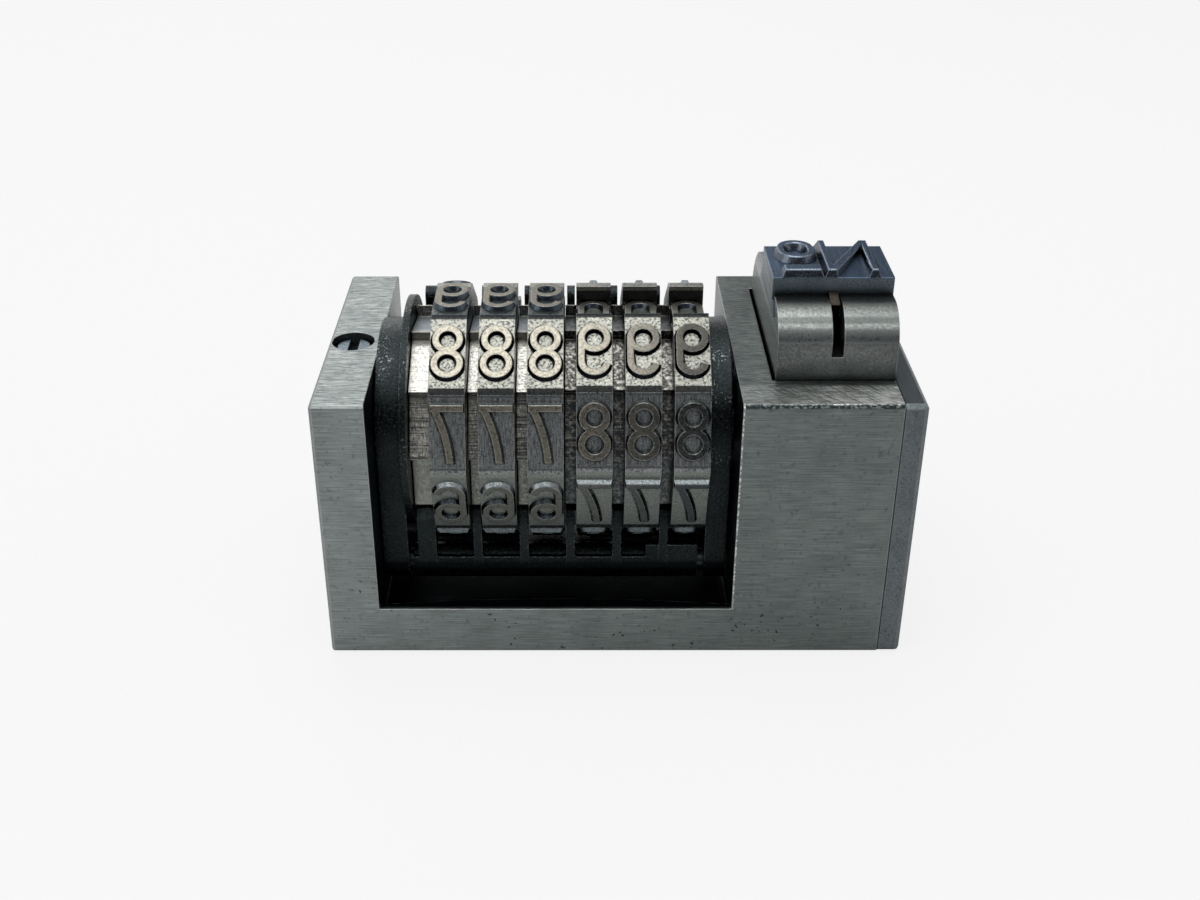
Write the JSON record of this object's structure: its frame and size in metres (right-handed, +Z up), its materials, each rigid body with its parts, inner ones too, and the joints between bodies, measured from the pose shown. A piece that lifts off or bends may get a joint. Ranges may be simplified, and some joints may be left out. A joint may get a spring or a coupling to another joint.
{
  "type": "letterpress numbering machine",
  "caption": "Typographic numbering machine: a steel block with a row of engraved figure wheels on a shaft, pawls in a swing, and a sprung plunger carrying a numero slug.",
  "frame": {"origin": "middle of the base of the casing", "axes": "+X along the wheel shaft towards the plunger and side plate, -Y towards the front where the figures rise, +Z up towards the printing faces"},
  "size_m": [0.0402, 0.022, 0.0262],
  "materials": {
    "casing_steel": "brushed, fine pitting",
    "plate_steel": "brushed, darker, worn edges",
    "wheel_steel": "bright, granular",
    "cipher_steel": "bright, shaded",
    "black_oxide": "black oxide, oiled",
    "plunger_steel": "satin, speckled",
    "slug_steel": "blued",
    "spring_steel": "drawn wire and strip",
    "screw_steel": "turned",
    "shaft_steel": "ground"
  },
  "bodies": {
    "root": {"frame": "casing_steel", "side_plate": "plate_steel", "side_plate_screws": "screw_steel", "wheel_shaft": "shaft_steel", "shaft_lock_screw": "screw_steel", "guard_washer": "black_oxide", "keeper_rod": "shaft_steel", "keeper_spring_bar": "black_oxide", "keeper_springs": "spring_steel", "plunger_stop_pin": "shaft_steel", "plunger_spring_front": "spring_steel", "plunger_spring_back": "spring_steel"},
    "swing": {"swing_left_cheek": "black_oxide", "swing_right_cheek": "black_oxide", "swing_tie_rod": "black_oxide", "pawl_rod": "black_oxide", "crank_pin": "shaft_steel", "pawl_spring": "spring_steel"},
    "driving_pawl": {"driving_pawl": "black_oxide"},
    "plunger": {"plunger": "plunger_steel", "prefix_slug": "slug_steel", "slug_spring": "spring_steel"},
    "wheel_1_units": {"wheel_1_units": "wheel_steel"},
    "wheel_2_tens": {"wheel_2_tens": "wheel_steel"},
    "wheel_3_hundreds": {"wheel_3_hundreds": "wheel_steel"},
    "wheel_4_thousands": {"wheel_4_thousands": "wheel_steel"},
    "wheel_5_ten_thousands": {"wheel_5_ten_thousands": "wheel_steel"},
    "wheel_6_hundred_thousands": {"wheel_6_hundred_thousands": "wheel_steel"},
    "drop_cipher_2": {"drop_cipher_2": "cipher_steel"},
    "drop_cipher_3": {"drop_cipher_3": "cipher_steel"},
    "drop_cipher_4": {"drop_cipher_4": "cipher_steel"},
    "drop_cipher_5": {"drop_cipher_5": "cipher_steel"},
    "drop_cipher_6": {"drop_cipher_6": "cipher_steel"},
    "keeper_pawl_1": {"keeper_pawl_1": "black_oxide"},
    "keeper_pawl_2": {"keeper_pawl_2": "black_oxide"},
    "keeper_pawl_3": {"keeper_pawl_3": "black_oxide"},
    "keeper_pawl_4": {"keeper_pawl_4": "black_oxide"},
    "keeper_pawl_5": {"keeper_pawl_5": "black_oxide"},
    "keeper_pawl_6": {"keeper_pawl_6": "black_oxide"}
  },
  "joints": [
    {"name": "wheel_1_units_turn", "type": "hinge", "parent": "root", "child": "wheel_1_units", "pos_m": [-0.01135, -0.00105, 0.0143], "axis": [1, 0, 0], "continuous": true},
    {"name": "wheel_2_tens_turn", "type": "hinge", "parent": "root", "child": "wheel_2_tens", "pos_m": [-0.00808, -0.00105, 0.0143], "axis": [1, 0, 0], "continuous": true},
    {"name": "wheel_3_hundreds_turn", "type": "hinge", "parent": "root", "child": "wheel_3_hundreds", "pos_m": [-0.00481, -0.00105, 0.0143], "axis": [1, 0, 0], "continuous": true},
    {"name": "wheel_4_thousands_turn", "type": "hinge", "parent": "root", "child": "wheel_4_thousands", "pos_m": [-0.00154, -0.00105, 0.0143], "axis": [1, 0, 0], "continuous": true},
    {"name": "wheel_5_ten_thousands_turn", "type": "hinge", "parent": "root", "child": "wheel_5_ten_thousands", "pos_m": [0.00173, -0.00105, 0.0143], "axis": [1, 0, 0], "continuous": true},
    {"name": "wheel_6_hundred_thousands_turn", "type": "hinge", "parent": "root", "child": "wheel_6_hundred_thousands", "pos_m": [0.005, -0.00105, 0.0143], "axis": [1, 0, 0], "continuous": true},
    {"name": "drop_cipher_2_rise", "type": "slide", "parent": "wheel_2_tens", "child": "drop_cipher_2", "axis": [0, 0.5721, 0.8202], "range_m": [0, 0.0014]},
    {"name": "drop_cipher_3_rise", "type": "slide", "parent": "wheel_3_hundreds", "child": "drop_cipher_3", "axis": [0, 0.5721, 0.8202], "range_m": [0, 0.0014]},
    {"name": "drop_cipher_4_rise", "type": "slide", "parent": "wheel_4_thousands", "child": "drop_cipher_4", "axis": [0, 0, 1], "range_m": [0, 0.0014]},
    {"name": "drop_cipher_5_rise", "type": "slide", "parent": "wheel_5_ten_thousands", "child": "drop_cipher_5", "axis": [0, 0, 1], "range_m": [0, 0.0014]},
    {"name": "drop_cipher_6_rise", "type": "slide", "parent": "wheel_6_hundred_thousands", "child": "drop_cipher_6", "axis": [0, 0, 1], "range_m": [0, 0.0014]},
    {"name": "plunger_press", "type": "slide", "parent": "root", "child": "plunger", "axis": [0, 0, -1], "range_m": [0, 0.0029], "stiffness_N_per_m": 2500, "springref_m": -0.002, "deforming": ["plunger_spring_front", "plunger_spring_back"]},
    {"name": "swing_turn", "type": "hinge", "parent": "root", "child": "swing", "pos_m": [-0.00602, -0.00105, 0.0143], "axis": [1, 0, 0], "range_deg": [0, 39]},
    {"name": "driving_pawl_lift", "type": "hinge", "parent": "swing", "child": "driving_pawl", "pos_m": [-0.00602, -0.00636, 0.00487], "axis": [1, 0, 0], "range_deg": [0, 10], "stiffness_Nm_per_rad": 0.002, "springref_deg": -17.19},
    {"name": "keeper_pawl_1_lift", "type": "hinge", "parent": "root", "child": "keeper_pawl_1", "pos_m": [-0.01297, 0.0096, 0.01599], "axis": [1, 0, 0], "range_deg": [0, 8], "stiffness_Nm_per_rad": 0.001, "springref_deg": -17.19},
    {"name": "keeper_pawl_2_lift", "type": "hinge", "parent": "root", "child": "keeper_pawl_2", "pos_m": [-0.0097, 0.0096, 0.01599], "axis": [1, 0, 0], "range_deg": [0, 8], "stiffness_Nm_per_rad": 0.001, "springref_deg": -17.19},
    {"name": "keeper_pawl_3_lift", "type": "hinge", "parent": "root", "child": "keeper_pawl_3", "pos_m": [-0.00643, 0.0096, 0.01599], "axis": [1, 0, 0], "range_deg": [0, 8], "stiffness_Nm_per_rad": 0.001, "springref_deg": -17.19},
    {"name": "keeper_pawl_4_lift", "type": "hinge", "parent": "root", "child": "keeper_pawl_4", "pos_m": [-0.00315, 0.0096, 0.01599], "axis": [1, 0, 0], "range_deg": [0, 8], "stiffness_Nm_per_rad": 0.001, "springref_deg": -17.19},
    {"name": "keeper_pawl_5_lift", "type": "hinge", "parent": "root", "child": "keeper_pawl_5", "pos_m": [0.00012, 0.0096, 0.01599], "axis": [1, 0, 0], "range_deg": [0, 8], "stiffness_Nm_per_rad": 0.001, "springref_deg": -17.19},
    {"name": "keeper_pawl_6_lift", "type": "hinge", "parent": "root", "child": "keeper_pawl_6", "pos_m": [0.00338, 0.0096, 0.01599], "axis": [1, 0, 0], "range_deg": [0, 8], "stiffness_Nm_per_rad": 0.001, "springref_deg": -17.19}
  ],
  "couplings": [
    {"joint": "swing_turn", "follows": "plunger_press", "rad_per_m": 234.69}
  ]
}
